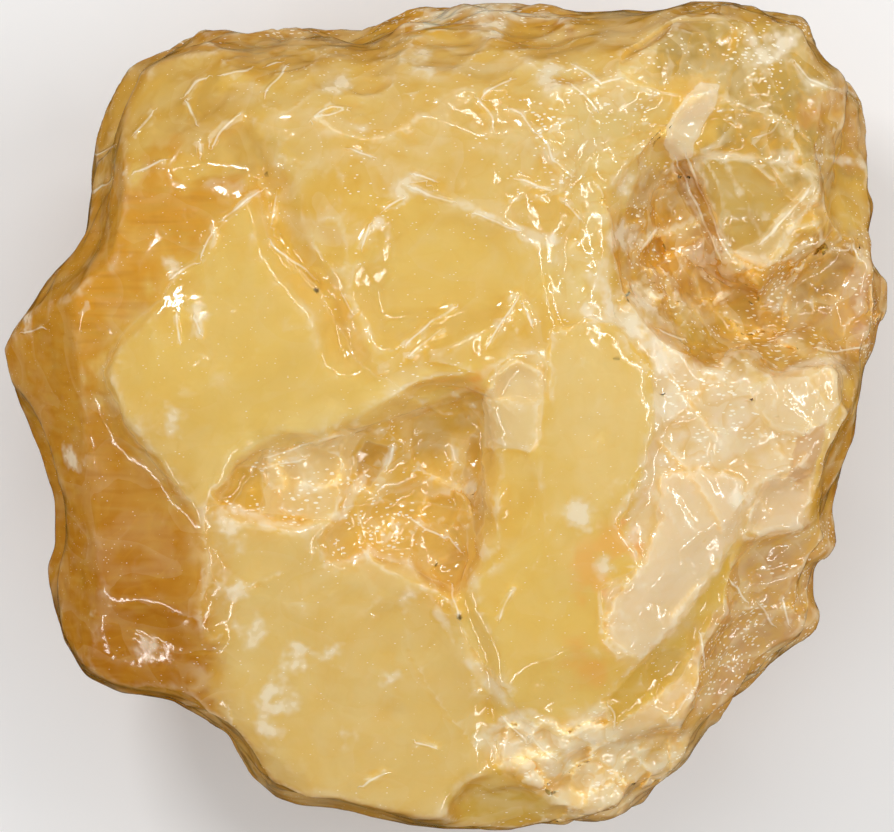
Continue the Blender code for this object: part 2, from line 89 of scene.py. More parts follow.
OUTLINES = {
    "left_side": [
        (-21, 25), (-24.5, 22), (-27, 18.5), (-29.5, 16.5), (-32, 13), (-36.5, 9), (-38.5, 5),
        (-35.5, -1.5), (-32, -6), (-28, -10), (-27, -25.5), (-31, -34.5), (-46, -39),
        (-52.5, -9.5), (-52.5, 15.5), (-43.5, 24.5), (-32, 28.5), (-29, 27),
    ],
    "upper_left": [
        (-21, 25), (-29, 27), (-32, 28.5), (-43.5, 24.5), (-46, 46), (-20, 50), (-18, 42),
        (-24, 37), (-19, 31),
    ],
    "lobe": [
        (-38.5, 5), (-36.5, 9), (-32, 13), (-29.5, 16.5), (-27, 18.5), (-24.5, 22), (-21, 25),
        (-19.5, 19), (-14.5, 14.5), (-10, 6), (-2, 1), (-10.5, -1.5), (-20.5, -4), (-24, -10),
        (-28, -10), (-32, -6), (-35.5, -1.5),
    ],
    "lobe_hem": [
        (-38.5, 5), (-36, 3), (-34, -1), (-30, -4), (-26, -6), (-22, -2), (-12, 1), (-2, 4),
        (1, 2), (-10.5, -1.5), (-20.5, -4), (-24, -10), (-28, -10), (-32, -6), (-35.5, -1.5),
    ],
    "dish": [
        (-5, 25.5), (-6.5, 22), (-8.5, 17.5), (-11, 16), (-11, 9.5), (-7.5, 7.5), (-0.5, 8),
        (6, 11), (11, 14), (12, 19.5), (6, 21.5), (0.5, 24),
    ],
    "pocket": [
        (-23.5, -5.5), (-20.5, -4), (-15.5, -3), (-10.5, -1.5), (-5, 0), (-2, 1), (0.5, 3.5),
        (2.5, 2.5), (4, 1), (4, -12.5), (3, -16.5), (1, -20), (-2, -18.5), (-4.5, -16.5),
        (-9, -15.5), (-13.5, -17), (-14.5, -14.5), (-12.5, -11), (-16.5, -13), (-23.5, -11.5),
        (-26.5, -9.5),
    ],
    "pocket_flake": [
        (-20.5, -4.5), (-16.5, -3.5), (-11.5, -1.5), (-9, -2), (-10.5, -4), (-11, -8.5),
        (-12, -10), (-11.5, -12), (-16.5, -11), (-21, -11), (-20, -7),
    ],
    "pocket_wedge": [(-23.5, -5.5), (-21, -6), (-20, -10), (-23.5, -11), (-25.5, -10)],
    "pocket_pit": [(-9, -2.5), (-6, -3.5), (-7, -6), (-8.5, -8), (-10, -7), (-10, -4.5)],
    "pocket_cleft": [(3.5, -1), (4, -2.5), (4.5, -10.5), (3.5, -14), (2.5, -9.5), (2, -4)],
    "pocket_tongue": [
        (-14.5, -14), (-12, -10.5), (-7.5, -9.5), (-0.5, -10), (4.5, -11), (4, -16.5),
        (1, -19.5), (-2, -18), (-4.5, -16.5), (-9, -15.5), (-13.5, -17),
    ],
    "block": [
        (-27, -11), (-23.5, -11.5), (-16.5, -13), (-12.5, -11), (-13.5, -17), (-9, -15.5),
        (-4.5, -16.5), (-2, -18.5), (1, -23), (2.5, -26.5), (4, -32), (4.5, -39), (-0.5, -48),
        (-20, -48), (-26, -37.5), (-25, -25.5),
    ],
    "slab": [
        (4, 2), (4, -13), (3, -16.5), (0.5, -21), (2.5, -25.5), (6, -30), (8.5, -34), (13, -36),
        (17.5, -33.5), (22, -27.5), (17.5, -23.5), (17.5, -19.5), (22, -16.5), (19.5, -12),
        (22, -6), (23.5, -0.5), (23, 5), (20, 9.5), (16.5, 11), (11.5, 9.5), (11, 2),
    ],
    "hollow": [
        (22, 27), (25, 29), (27.5, 28), (30, 22.5), (32, 18.5), (36, 16.5), (40, 20),
        (44.5, 21), (51.5, 21), (52.5, 4), (47, 6), (42.5, 7), (37, 5), (31.5, 4.5),
        (28.5, 5), (26, 8), (23.5, 11), (22, 13), (19.5, 14), (19, 19), (20, 23.5),
    ],
    "hollow_spot": [(25, 19), (29, 19.5), (31, 16), (29, 13), (25.5, 13.5), (24.5, 16)],
    "hollow_gold": [(25, 12), (33, 12.5), (36, 8), (31, 6), (27, 7)],
    "ledge": [(25.1, 28.3), (27.9, 28.9), (31.6, 18.4), (30.5, 17.9), (27.6, 22.7)],
    "rhomb": [
        (28, 28.9), (31, 29.3), (38, 28.5), (42, 26.7), (41.6, 25.3), (36.2, 17.2), (31.6, 18.5),
    ],
    "rhomb_tip": [
        (31.6, 18.5), (36.2, 17.2), (37.5, 18.1), (41.6, 24.9), (40.2, 25.8), (34.8, 19.4),
    ],
    "far_block": [
        (24, 37), (28.5, 38), (31, 37), (30, 33), (28, 29), (32.5, 29), (39, 26), (48, 27),
        (49, 38), (41, 46), (30, 48), (24, 45),
    ],
    "red_corner": [(40, 38), (47.5, 37.5), (49, 30), (46, 28.5), (41, 33)],
    "white_flake": [
        (28.5, 37.5), (30.5, 37), (30, 34.5), (28.5, 32), (27.5, 29), (25.5, 28.5), (24.5, 30),
        (25, 33), (26.5, 35.5),
    ],
    "pink_block": [
        (23.5, 9.5), (26, 8), (28.5, 5), (34, 3.5), (37, 5), (44, 6.5), (44.5, 2),
        (42, -1.5), (41.5, -7), (40, -13), (36.5, -13.5), (33.5, -13), (32.5, -14.5),
        (29, -19.5), (25.5, -24), (22.5, -27), (19, -28), (17.5, -25.5), (17.5, -20),
        (22, -16.5), (19.5, -12), (22, -6), (23.5, -0.5),
    ],
    "pink_top": [
        (23.5, 9.5), (28.5, 5), (34, 3.5), (36.5, -1.5), (40, -2.5), (39, -6.5), (24, -6),
        (23.5, -0.5),
    ],
    "lens": [
        (24, -6.5), (28.5, -6), (33.5, -7), (32.5, -14), (29, -19.5), (25.5, -24),
        (22.5, -27), (19, -27.5), (17.5, -25.5), (18.5, -21), (22, -16.5), (23.5, -12),
    ],
    "column": [(35.5, -7), (39, -6.5), (41.5, -6), (40, -13), (36.5, -13.5), (33.5, -13)],
    "second_column": [(39.5, -1.5), (43, 0), (41.5, -6), (40, -10), (38, -9), (38.5, -5)],
    "pale_flake": [
        (34, 3.5), (37, 4.5), (43, 6), (44.5, 4.5), (44.5, 2), (43, -1), (40, -2.5),
        (36.5, -1.5), (34.5, 0.5),
    ],
    "small_flake": [
        (4, 1), (5, 4.5), (7.5, 6.5), (10.5, 5), (11, 2), (10.5, -2.5), (9.5, -4), (4.5, -3.5),
    ],
    "ochre_band": [
        (32.5, -14.5), (29, -19.5), (25.5, -24), (22, -27), (17.5, -32), (19, -35),
        (23, -32), (26.5, -29), (28.5, -25.5), (31, -21),
    ],
    "pale_low": [
        (19, -35), (23, -32), (26.5, -29), (30, -32), (28.5, -36.5), (23, -39), (19.5, -37.5),
    ],
    "icy_corner": [
        (4, -36), (8.5, -32.5), (13, -35), (17.5, -32.5), (19.5, -36.5), (27.5, -36.5),
        (27.5, -40), (22, -45.5), (13, -48), (10.5, -42.5), (6, -39),
    ],
    "near_ochre": [
        (-0.5, -43.5), (2.5, -40.5), (6.5, -39.5), (10.5, -42.5), (14, -45), (13, -49),
        (-0.5, -49),
    ],
    "scoop": [
        (33.5, -13.5), (40, -13), (45.5, -9.5), (47, -25.5), (31, -36.5), (27.5, -32),
        (28.5, -25.5), (31, -21),
    ],
    "right_wall": [
        (44.5, -0.5), (49, 2), (47, -10.5), (41.5, -9.5), (41.5, -6),
    ],
    "right_tan": [(47, 18), (52, 14), (50, 6.5), (44.5, 6), (42.5, 8.5), (43.5, 14)],
    "gully": [
        (-20.5, 26), (-18, 26), (-17, 20), (-14.5, 17.5), (-11, 13), (-9.5, 7.5), (-12.5, 6.5),
        (-15, 11), (-18, 15.5), (-21, 20),
    ],
    "upper_middle": [
        (-16.5, 41.5), (23, 42), (24, 30), (18.5, 21), (13, 17.5), (-3, 25.5), (-12, 30),
        (-17.5, 25.5), (-20, 34.5),
    ],
    "slab_top": [
        (11, 9.5), (16.5, 11), (20, 9.5), (23, 5), (23.5, -0.5), (22, -6), (19.5, -12),
        (16, -14), (12, -8), (10.5, -2),
    ],
    "far_right": [(8, 40), (24, 42), (24, 30), (19, 22), (16, 12), (12, 14), (13, 22), (9, 32)],
    "far_band": [(-36, 50), (-33, 41), (-21, 42), (-9, 42.5), (2, 43.5), (14, 43), (18, 50)],
    "white_strip": [(-3, 43.5), (5, 45.5), (13, 44.5), (12, 46), (-2, 46)],
    "near_amber": [
        (-26, -27), (-24, -33), (-16, -43), (-8, -45), (-8, -48), (-30, -48), (-40, -34),
    ],
}

# Linear colours
HONEY = (0.73, 0.465, 0.11)
ORANGE = (0.69, 0.38, 0.055)
GULLY_ORANGE = (0.73, 0.44, 0.075)
LEMON = (0.77, 0.52, 0.135)
BUTTER = (0.80, 0.58, 0.24)
PALE_BUTTER = (0.88, 0.64, 0.22)
MILK = (0.75, 0.56, 0.22)
CREAM = (0.79, 0.61, 0.33)
WHITE = (0.86, 0.76, 0.56)
ICE = (0.81, 0.71, 0.49)
TAN = (0.57, 0.33, 0.065)
AMBER = (0.64, 0.275, 0.02)
SIDE_SHADE_AMBER = (0.48, 0.20, 0.015)
DEEP_AMBER = (0.40, 0.135, 0.006)
BROWN = (0.34, 0.12, 0.012)
PALE_HONEY = (0.71, 0.49, 0.17)
TAWNY = (0.72, 0.42, 0.09)
PINK = (0.78, 0.585, 0.36)
PALE_PINK = (0.81, 0.64, 0.42)
PINK_BROWN = (0.56, 0.32, 0.155)
RED_BROWN = (0.58, 0.28, 0.08)
OLIVE_GOLD = (0.43, 0.28, 0.08)
GLASS_BROWN = (0.44, 0.22, 0.05)
GLASS_GOLD = (0.60, 0.37, 0.06)
RUST = (0.42, 0.165, 0.02)
STAIN = (0.80, 0.34, 0.06)
SPECK = (0.06, 0.035, 0.015)
# The white of the painted glints
PAINTED_GLINT = (0.95, 0.88, 0.70)

# Each soft zone's colour, how far its edge fades, and how much of it covers
ZONES = [
    ("upper_left", TAN, 6.0, 0.85),
    ("left_side", AMBER, 4.0, 0.9),
    ("near_amber", DEEP_AMBER, 4.0, 0.6),
    ("upper_middle", PALE_HONEY, 6.0, 0.6),
    ("far_right", MILK, 5.0, 0.75),
    ("lobe", LEMON, 3.0, 0.5),
    ("lobe_hem", PALE_BUTTER, 3.5, 0.75),
    ("gully", GULLY_ORANGE, 2.5, 0.75),
    ("dish", LEMON, 3.5, 0.6),
    ("slab_top", BUTTER, 6.0, 0.9),
    ("pocket", TAWNY, 1.2, 0.75),
    ("block", PALE_HONEY, 1.5, 0.8),
    ("hollow", GLASS_BROWN, 2.0, 0.88),
    ("hollow_spot", RUST, 3.0, 0.65),
    ("hollow_gold", GLASS_GOLD, 3.0, 0.65),
    ("far_block", OLIVE_GOLD, 2.0, 0.94),
    ("red_corner", RED_BROWN, 3.0, 0.9),
    ("pink_block", PINK, 1.5, 0.85),
    ("pink_top", PALE_PINK, 3.0, 0.6),
    ("scoop", PINK_BROWN, 2.0, 0.85),
    ("right_wall", BROWN, 1.5, 0.8),
    ("right_tan", PINK_BROWN, 3.0, 0.9),
    ("pale_low", PINK, 1.5, 0.7),
    ("icy_corner", ICE, 1.5, 0.88),
    ("near_ochre", GLASS_GOLD, 1.2, 0.8),
    ("far_band", RUST, 2.0, 0.8),
]

# The zones with sharp edges: the colour of each, and how much of it covers
SHARP_ZONES = {
    "lobe": (LEMON, 0.25),
    "pocket_tongue": (TAWNY, 0.5),
    "pocket_flake": (CREAM, 0.4),
    "slab": (LEMON, 0.3),
    "rhomb": (OLIVE_GOLD, 0.5),
    "white_flake": (WHITE, 0.6),
    "lens": (PALE_PINK, 0.35),
    "pale_flake": (CREAM, 0.3),
    "second_column": (PINK_BROWN, 0.6),
    "column": (PINK, 0.5),
    "ochre_band": (GLASS_GOLD, 0.5),
}

# Smaller zones that lie over those, in the same way
INNER_ZONES = {
    "pocket_wedge": (ORANGE, 0.75),
    "pocket_pit": (RUST, 0.4),
    "pocket_cleft": (RUST, 0.3),
    "small_flake": (CREAM, 0.6),
    "ledge": (RUST, 0.45),
    "rhomb_tip": (CREAM, 0.38),
}

# Where the stone is broken up most, and thickest with painted glint dashes
BROKEN_ZONES = [
    "pocket", "hollow", "far_block", "icy_corner", "far_right", "far_band", "scoop", "pink_top",
]

# Pale seams where flakes meet: a path seen from above, and how wide the seam is
SEAMS = [
    ([(28, 28.9), (31.6, 18.5)], 0.4),
    ([(28, 28.9), (31, 29.3), (38, 28.5), (42, 26.7)], 0.35),
    ([(31.2, 28.6), (35.3, 20.5)], 0.25),
    ([(31.6, 18.5), (36.2, 17.2)], 0.5),
    ([(35.2, 19.2), (41, 25.6)], 0.3),
    ([(36.4, 18.2), (41.7, 24.8)], 0.3),
    ([(25.6, 27.8), (30.9, 18.1)], 0.3),
    ([(26.6, 28.2), (31.3, 19.2)], 0.3),
    ([(33.5, 40), (36.5, 40.5), (39, 42.5)], 1.6),
    ([(39.5, 39.5), (40.5, 37.5), (43, 37), (46.5, 36.5)], 0.5),
    ([(36.5, 29.5), (42, 29), (47.5, 28.5)], 0.5),
    ([(-4, 25.5), (2, 23.5), (8.5, 20.5)], 0.6),
    ([(8.5, 20.5), (12, 19.5)], 1.2),
    ([(-13.8, -17), (-8.4, -15.4), (-4.4, -16.2), (-1.8, -20), (0.7, -25.3)], 0.45),
    ([(-23.5, -11), (-16, -12.5), (-11.5, -11), (-9.5, -7)], 0.8),
    ([(-6, -3.5), (-7, -6)], 0.6),
    ([(17.5, 16.5), (16.5, 12), (20.5, 11), (24, 7), (24.5, 1)], 2.4),
    ([(2.5, -27), (5.5, -31), (9.5, -35)], 1.2),
    ([(4.5, -35.5), (8.5, -33), (13, -35), (18, -33)], 0.9),
    ([(34, 4), (37.5, 5), (44, 6.5)], 0.5),
]

# Broad faces that broke smoothly
CALM_FACES = ["left_side", "lobe", "dish", "block", "slab", "lens", "upper_left"]

# Flakes that stand a little proud of their zones, or a little under them when below 0
STEPS = {
    "pocket_flake": 0.35,
    "lens": 0.45,
    "column": 0.4,
    "pale_flake": 0.4,
    "small_flake": 0.4,
    "white_flake": 0.4,
    "rhomb": 0.35,
    "ochre_band": -0.3,
    "slab": 0.3,
}

# Thin ridges that catch the light: a path seen from above, then its width and height
RIDGES = [
    ([(-29, 36), (-28, 37.6), (-27, 38.2)], 0.8, 0.4),
    ([(-25, 38.3), (-22, 38.8)], 0.8, 0.35),
    ([(-20, 39.1), (-18.6, 39.7)], 0.7, 0.3),
    ([(-18, 39), (-19.8, 36.8), (-20.2, 36.2)], 0.8, 0.35),
    ([(-29, 35), (-27.9, 32.9)], 0.9, 0.4),
    ([(-32.8, 34), (-34.7, 31.8)], 0.8, 0.35),
    ([(-23.4, 33.5), (-25.7, 31.3), (-26.2, 30.4)], 0.9, 0.4),
    ([(-27.5, 30.4), (-27.4, 29.2)], 0.7, 0.3),
    ([(-34.7, 27.3), (-31.7, 28.5)], 0.8, 0.35),
    ([(-40.6, 24.6), (-37.7, 26.5)], 0.8, 0.3),
    ([(-40.2, 29.5), (-37.7, 30.4)], 0.8, 0.3),
    ([(-20.8, 25.1), (-22.5, 24), (-24.9, 21.9)], 0.9, 0.45),
    ([(-26.1, 20.4), (-27.2, 18)], 1.0, 0.45),
    ([(-27.9, 17), (-30.5, 15.6)], 0.8, 0.35),
    ([(-30, 11.3), (-29.8, 8.7)], 0.9, 0.4),
    ([(-28, 11), (-27.4, 9.4)], 0.8, 0.3),
    ([(-47.5, 9.4), (-45.4, 9.8)], 0.8, 0.35),
    ([(-19, 24.5), (-19.5, 21.6)], 0.8, 0.35),
    ([(-19.4, 19.3), (-17.4, 17.4), (-14.5, 15.4)], 0.9, 0.4),
    ([(-11.4, 13.3), (-10.5, 11.6)], 0.9, 0.4),
    ([(-14.8, 33.1), (-12.8, 34.7), (-11.2, 34.5), (-13.2, 33.3), (-14.8, 33.1)], 0.6, 0.3),
    ([(-10.8, 29.8), (-8.5, 28.7)], 0.8, 0.35),
    ([(-3.3, 26.9), (-1.3, 26.2)], 1.1, 0.4),
    ([(3.6, 35.3), (5.1, 33.3), (5.2, 32.3)], 0.8, 0.35),
    ([(4.3, 35.9), (7.1, 37.6)], 0.8, 0.35),
    ([(7, 34.2), (8.4, 33.9), (10, 31.7)], 0.8, 0.35),
    ([(11, 30.5), (11.9, 28.7), (13.9, 27)], 1.1, 0.45),
    ([(14.1, 36.8), (15.4, 35.8), (16.7, 34.5)], 0.8, 0.35),
    ([(14.4, 39.2), (17.6, 37), (19.4, 37.7)], 0.8, 0.35),
    ([(8.1, 26.4), (11.4, 25.2)], 0.8, 0.3),
    ([(-3.8, 25.4), (0.5, 24)], 0.8, 0.3),
    ([(3.5, 22.6), (8, 20.8)], 0.8, 0.3),
    ([(13.5, 23.6), (14.9, 22)], 0.9, 0.4),
    ([(-5, 24.3), (-6.8, 23)], 0.7, 0.3),
    ([(-8.5, 21.1), (-9.4, 18.8)], 0.9, 0.35),
    ([(-4.3, 8.1), (-1.7, 10.5), (1, 12)], 1.0, 0.45),
    ([(-0.6, 9.6), (-4, 6.9)], 0.8, 0.35),
    ([(4.7, 7.9), (7.9, 13.2)], 0.9, 0.35),
    ([(8.8, 12.2), (9.6, 10.3)], 0.8, 0.3),
    ([(25.8, 28.9), (30.8, 17.8)], 0.5, 0.3),
    ([(31.7, 18), (27, 28.9)], 0.5, 0.3),
    ([(35.5, 19.6), (40.6, 25.2)], 0.6, 0.3),
    ([(35, 31.3), (36.5, 31.8), (37.4, 33.2)], 0.9, 0.4),
    ([(43.5, 36.8), (40.7, 37.7), (39.3, 39.6)], 0.8, 0.4),
    ([(46, 19.3), (46.4, 17.9)], 0.9, 0.4),
    ([(44, 19), (45.6, 18.8)], 0.7, 0.3),
    ([(22, 18.5), (23.5, 21)], 0.7, 0.35),
    ([(24, 9.5), (26.5, 8.5)], 0.8, 0.35),
    ([(41.8, 7.4), (43.2, 7.2), (47.6, 8)], 0.8, 0.4),
    ([(-19.9, -4.6), (-15.6, -3.3)], 0.7, 0.35),
    ([(-16.2, -4.8), (-20.4, -5.9)], 0.7, 0.3),
    ([(-5.8, -3.6), (-6.8, -6)], 0.7, 0.3),
    ([(-3.7, -11.8), (-0.3, -13.7)], 0.8, 0.35),
    ([(0.3, -13.7), (1.7, -15.2)], 0.8, 0.35),
    ([(0.5, -19.3), (1.4, -22.3)], 0.8, 0.35),
    ([(6, -22.5), (7.2, -19.8)], 0.9, 0.4),
    ([(-9.5, -41.5), (-7, -40.2)], 0.8, 0.3),
    ([(-3.3, -36.5), (-1.5, -37.2)], 0.8, 0.3),
    ([(32, -18.5), (33.8, -21)], 1.0, 0.4),
    ([(35.5, -21.5), (37, -23.5)], 1.0, 0.4),
    ([(38, -21), (38.7, -23.3)], 0.8, 0.35),
    ([(28.5, -24.5), (29, -28)], 0.7, 0.3),
    ([(25, -34), (27, -31.5)], 0.8, 0.3),
    ([(18.5, -32.5), (19, -34.5)], 0.8, 0.3),
    ([(9.5, -36), (12, -38.5)], 0.8, 0.35),
    ([(13.5, -40), (16.5, -38)], 0.8, 0.35),
    ([(6.5, -34), (9, -36.5)], 0.8, 0.3),
]

# White bruises: the middle and radius of each, seen from above
BRUISES = [
    (-30.5, -1, 1.4), (-9, 31.5, 1.0), (-5, 26, 1.3), (-7, 21, 0.9), (-30.5, 16.5, 1.0),
    (-28, 11, 1.1), (-42, -4.5, 1.0), (-34, -26, 0.8), (-15.5, -7.5, 1.3), (-24, -12.5, 2.2),
    (-24, -19, 1.4), (-19, -31.5, 2.0), (20.5, 26.5, 1.3), (20, 20, 1.4), (21.5, 9.5, 1.6),
    (17.5, 13, 1.8), (15, -11, 1.8), (36.5, 41.5, 2.4), (5, 44.5, 1.6), (-47.5, 10.5, 0.9),
    (22, 13.5, 1.4), (24.5, 6, 1.3), (-17, -27, 1.8), (11.5, 19.5, 0.9), (-22, -24, 1.6),
    (-20, -35, 1.4), (-13, -27, 1.2), (-6, -30, 1.0), (-4, -20, 0.9), (-11, -36, 0.8),
    (20, -8, 1.2), (21, -13, 1.0), (18, -17, 1.0), (21.5, -19, 1.2), (19.5, -23, 1.0),
    (30, -3, 1.6), (33, -9, 1.2), (-3, 40, 1.3), (12, 38, 1.2), (-12, 37, 1.0),
]

# Orange iron stains and dark specks, in the same way
STAINS = [(19, -13, 3.2), (16.5, -27.5, 3.2), (16.5, -19, 2.2), (2.5, 4, 1.6)]
SPECKS = [(-20, 27, 0.3), (-14.5, 14, 0.35), (19, 6.5, 0.4), (1.5, -22.5, 0.35)]


def unit(vectors):
    """The same vectors, one unit long."""
    return vectors / np.maximum(np.linalg.norm(vectors, axis=-1, keepdims=True), 1e-9)


def waves(points, wavelength, seed):
    """A smooth random field, mostly within -1 to 1, from sine waves in random directions."""
    count = 12
    rng = np.random.RandomState(seed)
    total = np.zeros(len(points))
    for _ in range(count):
        turn = unit(rng.normal(size=3)) * 2 * math.pi / (wavelength * rng.uniform(0.7, 1.5))
        total += np.sin(points @ turn + rng.uniform(0, 2 * math.pi))
    return total * math.sqrt(1.2 / count)


def inside_distance(points, outline):
    """How far each point is inside a closed outline seen from above, or below 0 outside it."""
    corners = np.array(outline, float)
    nearest = np.full(len(points), 1e9)
    inside = np.zeros(len(points), bool)
    x, y = points[:, 0], points[:, 1]
    for (ax, ay), (bx, by) in zip(corners, np.roll(corners, -1, axis=0)):
        along = ((x - ax) * (bx - ax) + (y - ay) * (by - ay)) / ((bx - ax) ** 2 + (by - ay) ** 2)
        along = np.clip(along, 0, 1)
        gap = np.hypot(x - ax - along * (bx - ax), y - ay - along * (by - ay))
        nearest = np.minimum(nearest, gap)
        if ay != by:
            crosses = (ay > y) != (by > y)
            inside ^= crosses & (x < (bx - ax) * (y - ay) / (by - ay) + ax)
    return np.where(inside, nearest, -nearest)


def path_distance(points, path):
    """How far each point is from an open path, seen from above."""
    nearest = np.full(len(points), 1e9)
    for a, b in zip(np.array(path[:-1], float), np.array(path[1:], float)):
        along = np.clip(((points[:, :2] - a) @ (b - a)) / ((b - a) @ (b - a)), 0, 1)
        gap = np.linalg.norm(points[:, :2] - a - along[:, None] * (b - a), axis=1)
        nearest = np.minimum(nearest, gap)
    return nearest


def facets(points, size, seed):
    """Like waves, but made of flat slopes that meet at sharp creases."""
    count = 5
    rng = np.random.RandomState(seed)
    total = np.zeros(len(points))
    for _ in range(count):
        turn = unit(rng.normal(size=3)) / (size * rng.uniform(0.7, 1.5))
        phase = points @ turn + rng.uniform()
        total += 4 * np.abs(phase - np.round(phase)) - 1
    return total * math.sqrt(1.8 / count)


def clouds(points, size, seed, octaves=3, twist=0.0):
    """Cloudy noise, mostly within -1 to 1, with its largest features of that size."""
    if twist:
        turned = np.stack([waves(points, size, seed + 50 + k) for k in range(3)], axis=1)
        points = points + twist * size * turned
    total = np.zeros(len(points))
    for octave in range(octaves):
        total += waves(points, size / 2**octave, seed + octave) * 0.55**octave
    return total / 1.3


def ragged(points, amount, wavelength, seed):
    """The points with their places seen from above shifted about a little."""
    plan = points.copy()
    plan[:, 0] += amount * waves(points, wavelength, seed)
    plan[:, 1] += amount * waves(points, wavelength, seed + 1)
    return plan


def smooth_step(values, low, high):
    """0 at low, 1 at high, and smooth between them."""
    t = np.clip((values - low) / (high - low), 0, 1)
    return t * t * (3 - 2 * t)


def blend(colours, factor, colour):
    """The colours, drawn towards one colour by a factor at each point."""
    return colours + np.clip(factor, 0, 1)[:, None] * (np.array(colour) - colours)


def spot_depth(points, spots):
    """How far each point is inside the nearest round spot, or below 0 outside them all."""
    deepest = np.full(len(points), -1e9)
    for x, y, radius in spots:
        deepest = np.maximum(deepest, radius - np.hypot(points[:, 0] - x, points[:, 1] - y))
    return deepest


def crest_sides(points, paths):
    """How far each point is from the nearest path, seen from above, and the same again but
    below 0 on the path's right, so that the crest stays sharp on a coarse mesh."""
    reach = 2.5
    nearest = np.full(len(points), reach)
    side = np.ones(len(points))
    for path in paths:
        low, high = np.min(path, axis=0) - reach, np.max(path, axis=0) + reach
        near = np.flatnonzero(((points[:, :2] > low) & (points[:, :2] < high)).all(axis=1))
        for a, b in zip(np.array(path[:-1], float), np.array(path[1:], float)):
            away = points[near, :2] - a
            along = np.clip(away @ (b - a) / ((b - a) @ (b - a)), 0, 1)
            gap = np.linalg.norm(away - along[:, None] * (b - a), axis=1)
            turn = (b - a)[0] * away[:, 1] - (b - a)[1] * away[:, 0]
            closer = gap < nearest[near]
            nearest[near[closer]] = gap[closer]
            side[near[closer]] = np.sign(turn[closer])
    return nearest, nearest * side


def deepest_inside(points, names):
    """How far each point is inside the nearest of some outlines, or below 0 outside them all."""
    return np.max([inside_distance(points, OUTLINES[name]) for name in names], axis=0)


def calmness(points):
    """1 over the smooth broad faces, seen from above, and 0 elsewhere."""
    return smooth_step(deepest_inside(points, CALM_FACES), -1.0, 2.0)


def brokenness(points):
    """How broken up the stone is at each place seen from above: 1 at most, little if calm."""
    broken = smooth_step(deepest_inside(points, BROKEN_ZONES), -1.5, 1.5)
    return np.maximum(broken, 0.4 - 0.3 * calmness(points))


def all_ridges():
    """The placed ridges and many short random ones, most of them where the stone is broken."""
    tries = 2000
    width = 0.6
    bearings = [0.6, 2.2, 3.9]
    rng = np.random.RandomState(501)
    places = rng.uniform((-50, -46), (50, 46), (tries, 2))
    wanted = rng.uniform(size=tries) < 0.3 * brokenness(places) - 0.02
    ridges = list(RIDGES)
    for place in places[wanted]:
        bearing = rng.choice(bearings) + rng.normal(0, 0.5)
        along = np.array([math.cos(bearing), math.sin(bearing)]) * rng.uniform(0.3, 1.0)
        bend = np.array([-along[1], along[0]]) * rng.normal(0, 0.2)
        path = [tuple(place - along), tuple(place + bend), tuple(place + along)]
        ridges.append((path, width, rng.uniform(0.1, 0.3)))
    return ridges


def seam_depth(points, seams):
    """How far each point is inside the nearest pale seam, or below 0 outside them all."""
    deepest = np.full(len(points), -1e9)
    for path, width in seams:
        deepest = np.maximum(deepest, width / 2 - path_distance(points, path))
    return deepest


def through_modifier(mesh, kind, **settings):
    """A copy of the mesh after one modifier."""
    holder = bpy.data.objects.new("holder", mesh)
    bpy.context.scene.collection.objects.link(holder)
    modifier = holder.modifiers.new("change", kind)
    for name, value in settings.items():
        setattr(modifier, name, value)
    graph = bpy.context.evaluated_depsgraph_get()
    changed = bpy.data.meshes.new_from_object(holder.evaluated_get(graph))
    bpy.data.objects.remove(holder)
    return changed


def points_of(mesh):
    """The mesh's points, in millimetres."""
    flat = np.empty(len(mesh.vertices) * 3)
    mesh.vertices.foreach_get("co", flat)
    return flat.reshape(-1, 3) / MILLIMETRE


